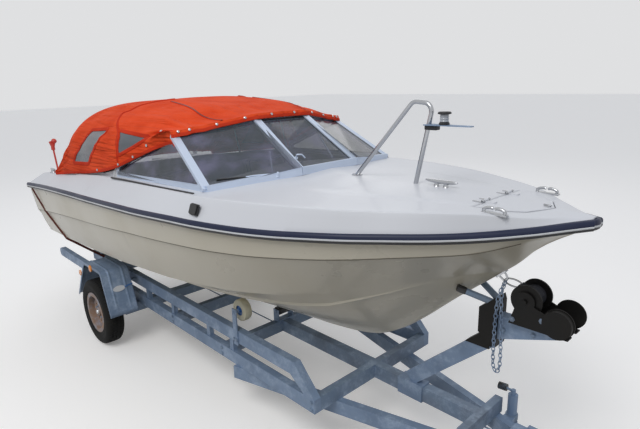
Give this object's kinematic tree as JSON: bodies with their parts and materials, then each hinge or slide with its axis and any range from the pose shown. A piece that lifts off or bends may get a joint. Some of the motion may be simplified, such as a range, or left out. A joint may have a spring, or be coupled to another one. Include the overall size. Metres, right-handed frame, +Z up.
{
  "type": "speedboat on trailer",
  "caption": "Open speedboat with raked windscreen, folding cloth hood and outboard engine, standing on a braked road trailer with winch stand and jockey wheel.",
  "frame": {"origin": "on the ground under the middle of the whole outfit's bounding box", "axes": "+X forward to the bow and the trailer's coupling, +Y to port, +Z up"},
  "size_m": [5.7009, 2.04, 2.092],
  "materials": {
    "gelcoat": "glossy cream",
    "rail_rubber": "navy and black rubber with a white stripe",
    "anodised": "pale anodised",
    "clear_pane": "clear",
    "canvas": "orange-red woven cloth",
    "stainless": "polished",
    "galvanised": "dull galvanised",
    "black_plastic": "matt",
    "cabin_lining": "plain grey lining",
    "seat_cover": "pale vinyl",
    "engine_paint": "dark gloss paint",
    "rim_paint": "beige paint with rust",
    "tyre": "dusty black",
    "cream_roller": "cream nylon",
    "black_steel": "matt black paint",
    "amber_lens": "amber reflector",
    "red_plastic": "red plastic",
    "strap_webbing": "brown-red webbing"
  },
  "bodies": {
    "boat_and_trailer": {"axle": "galvanised", "bow_hoop": "stainless", "bow_stop": "galvanised", "brake_rod": "galvanised", "cabin_liner": "cabin_lining", "centre_beam": "galvanised", "cleats": "stainless", "coupling": "galvanised", "cross_beams": "galvanised", "deck": "gelcoat", "deck_staff": "red_plastic", "drawbar": "galvanised", "engine_bracket": "engine_paint", "helm_consoles": "gelcoat", "helm_seat": "seat_cover", "hood": "canvas", "hood_bows": "stainless", "hull": "gelcoat", "hull_supports": "galvanised", "jockey_tube": "galvanised", "keel_rollers": "black_plastic", "lamp_arms": "galvanised", "lower_rails": "galvanised", "mast_lamp": "black_plastic", "mate_seat": "seat_cover", "motor_well_liner": "gelcoat", "mudguards": "galvanised", "rail_uprights": "galvanised", "rub_rail": "rail_rubber", "seat_bases": "gelcoat", "side_lamps": "black_plastic", "side_reflectors": "amber_lens", "stem_eye": "stainless", "stern_seat": "seat_cover", "tie_down_straps": "strap_webbing", "upper_rails": "galvanised", "winch_arm": "galvanised", "winch_frame": "black_steel", "winch_head": "black_steel", "winch_post": "galvanised", "windscreen_frame": "anodised", "windscreen_panes": "clear_pane"},
    "steering_wheel": {"steering_wheel": "black_plastic"},
    "engine_swivel": {"engine_swivel": "engine_paint"},
    "engine": {"engine_leg": "engine_paint", "engine_cowl": "engine_paint"},
    "propeller": {"propeller": "engine_paint"},
    "wheel_starboard": {"rim_starboard": "rim_paint", "tyre_starboard": "tyre"},
    "wheel_port": {"rim_port": "rim_paint", "tyre_port": "tyre"},
    "side_roller_fore_starboard": {"side_roller_fore_starboard": "cream_roller"},
    "side_roller_fore_port": {"side_roller_fore_port": "cream_roller"},
    "side_roller_aft_starboard": {"side_roller_aft_starboard": "cream_roller"},
    "side_roller_aft_port": {"side_roller_aft_port": "cream_roller"},
    "jockey_fork": {"jockey_fork": "galvanised"},
    "jockey_roller": {"jockey_roller": "tyre"},
    "locker_lid": {"locker_lid": "gelcoat"},
    "winch_drum": {"winch_drum": "black_steel"}
  },
  "joints": [
    {"name": "steering_wheel_turn", "type": "hinge", "parent": "boat_and_trailer", "child": "steering_wheel", "pos_m": [0.3565, -0.47, 1.345], "axis": [-0.9439, 0, 0.3304], "range_deg": [-450, 450]},
    {"name": "engine_tilt", "type": "hinge", "parent": "boat_and_trailer", "child": "engine_swivel", "pos_m": [-2.3635, 0, 1.09], "axis": [0, 1, 0], "range_deg": [0, 60]},
    {"name": "engine_steer", "type": "hinge", "parent": "engine_swivel", "child": "engine", "pos_m": [-2.4205, 0, 1], "axis": [0, 0, 1], "range_deg": [-35, 35]},
    {"name": "propeller_spin", "type": "hinge", "parent": "engine", "child": "propeller", "pos_m": [-2.7265, 0, 0.352], "axis": [1, 0, 0], "continuous": true},
    {"name": "wheel_starboard_spin", "type": "hinge", "parent": "boat_and_trailer", "child": "wheel_starboard", "pos_m": [-1.1585, -0.815, 0.289], "axis": [0, 1, 0], "continuous": true},
    {"name": "wheel_port_spin", "type": "hinge", "parent": "boat_and_trailer", "child": "wheel_port", "pos_m": [-1.1585, 0.815, 0.289], "axis": [0, 1, 0], "continuous": true},
    {"name": "side_roller_fore_starboard_spin", "type": "hinge", "parent": "boat_and_trailer", "child": "side_roller_fore_starboard", "pos_m": [0.5415, -0.5, 0.73138], "axis": [0, 1, 0], "continuous": true},
    {"name": "side_roller_fore_port_spin", "type": "hinge", "parent": "boat_and_trailer", "child": "side_roller_fore_port", "pos_m": [0.5415, 0.5, 0.73138], "axis": [0, 1, 0], "continuous": true},
    {"name": "side_roller_aft_starboard_spin", "type": "hinge", "parent": "boat_and_trailer", "child": "side_roller_aft_starboard", "pos_m": [-1.7185, -0.476, 0.61305], "axis": [0, 1, 0], "continuous": true},
    {"name": "side_roller_aft_port_spin", "type": "hinge", "parent": "boat_and_trailer", "child": "side_roller_aft_port", "pos_m": [-1.7185, 0.476, 0.61305], "axis": [0, 1, 0], "continuous": true},
    {"name": "jockey_swivel", "type": "hinge", "parent": "boat_and_trailer", "child": "jockey_fork", "pos_m": [2.0815, 0.235, 0.25], "axis": [0, 0, 1], "continuous": true},
    {"name": "jockey_roller_spin", "type": "hinge", "parent": "jockey_fork", "child": "jockey_roller", "pos_m": [2.0415, 0.235, 0.098], "axis": [0, 1, 0], "continuous": true},
    {"name": "locker_lid_hinge", "type": "hinge", "parent": "boat_and_trailer", "child": "locker_lid", "pos_m": [2.0335, 0, 1.632], "axis": [0, -1, 0], "range_deg": [0, 100]},
    {"name": "winch_drum_turn", "type": "hinge", "parent": "boat_and_trailer", "child": "winch_drum", "pos_m": [2.2365, 0, 1.166], "axis": [0, 1, 0], "continuous": true}
  ],
  "couplings": [
    {"joint": "steering_wheel_turn", "follows": "engine_steer", "ratio": -12.857}
  ]
}
